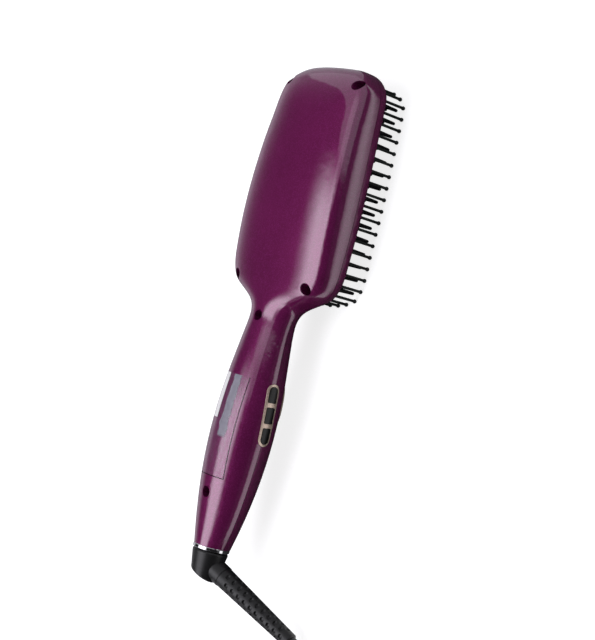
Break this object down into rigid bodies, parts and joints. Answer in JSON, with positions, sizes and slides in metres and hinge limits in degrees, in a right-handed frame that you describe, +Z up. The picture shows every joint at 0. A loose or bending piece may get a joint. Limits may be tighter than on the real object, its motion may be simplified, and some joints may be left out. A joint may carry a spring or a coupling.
{
  "type": "heated hair straightening brush",
  "caption": "Electric hair straightening brush with heated teeth inside a ring of ball bristles, a button panel, an oval display and a mains cord on a swivelling elbow.",
  "frame": {"origin": "on the table under the middle of the brush's length and width, where the ball bristles stand; the cord is left out of that middle", "axes": "+X across the brush, out of the side with the button panel; +Y along it, from the cord's elbow to the top of the head; +Z up, out of the back of the head and handle"},
  "size_m": [0.1484, 0.4471, 0.0457],
  "materials": {
    "plum_shell": "gloss pearlescent plum",
    "black_nylon": "satin",
    "coated_plate": "dark ceramic coating, satin",
    "heater": "matte",
    "spring_steel": "satin",
    "mica": "matte",
    "small_metal": "satin",
    "sensor": "matte",
    "screw_steel": "dark zinc",
    "champagne_trim": "metallised champagne",
    "board": "matte",
    "switch": "matte",
    "dark_lens": "gloss, dark tint",
    "display": "matte",
    "clear_film": "clear film",
    "chrome": "polished",
    "contact_brass": "bright",
    "black_button": "gloss",
    "black_satin": "satin",
    "black_rubber": "matte",
    "cord_jacket": "matte",
    "contact_metal": "nickel plated"
  },
  "bodies": {
    "cord_side": {"swivel_elbow": "black_satin", "retaining_clip": "spring_steel", "slip_ring_1": "contact_brass", "slip_ring_2": "contact_brass", "cord_boot": "black_rubber", "cord": "cord_jacket", "cord_coil": "cord_jacket", "coil_tie": "cord_jacket", "cord_tail": "cord_jacket", "plug_tail": "black_rubber", "mains_plug": "black_satin", "plug_pin_left": "contact_metal", "plug_pin_right": "contact_metal", "pin_sleeve_left": "black_satin", "pin_sleeve_right": "black_satin"},
    "brush": {"back_shell": "plum_shell", "front_shell": "plum_shell", "bristle_frame": "black_nylon", "cool_bristles": "black_nylon", "heating_plate": "coated_plate", "heated_teeth": "coated_plate", "ptc_heater_left": "heater", "ptc_heater_right": "heater", "heater_clamp": "spring_steel", "mica_board": "mica", "thermal_fuse": "small_metal", "temperature_sensor": "sensor", "case_screws": "screw_steel", "button_panel": "champagne_trim", "button_board": "board", "tact_switches": "switch", "display_bezel": "champagne_trim", "display_lens": "dark_lens", "display_module": "display", "control_board": "board", "rating_film": "clear_film", "chrome_ring": "chrome", "swivel_socket": "black_nylon", "contact_blades": "contact_brass", "contact_carrier": "black_nylon"},
    "down_key": {"button_down": "black_button"},
    "power_key": {"button_power": "black_button"},
    "up_key": {"button_up": "black_button"}
  },
  "joints": [
    {"name": "cord_swivel", "type": "hinge", "parent": "cord_side", "child": "brush", "pos_m": [0, -0.1283, 0.029], "axis": [0, 1, 0], "continuous": true},
    {"name": "down_press", "type": "slide", "parent": "brush", "child": "down_key", "axis": [-1, 0, 0], "range_m": [0, 0.0006], "stiffness_N_per_m": 600, "springref_m": -0.0015},
    {"name": "power_press", "type": "slide", "parent": "brush", "child": "power_key", "axis": [-1, 0, 0], "range_m": [0, 0.0006], "stiffness_N_per_m": 600, "springref_m": -0.0015},
    {"name": "up_press", "type": "slide", "parent": "brush", "child": "up_key", "axis": [-1, 0, 0], "range_m": [0, 0.0006], "stiffness_N_per_m": 600, "springref_m": -0.0015}
  ]
}
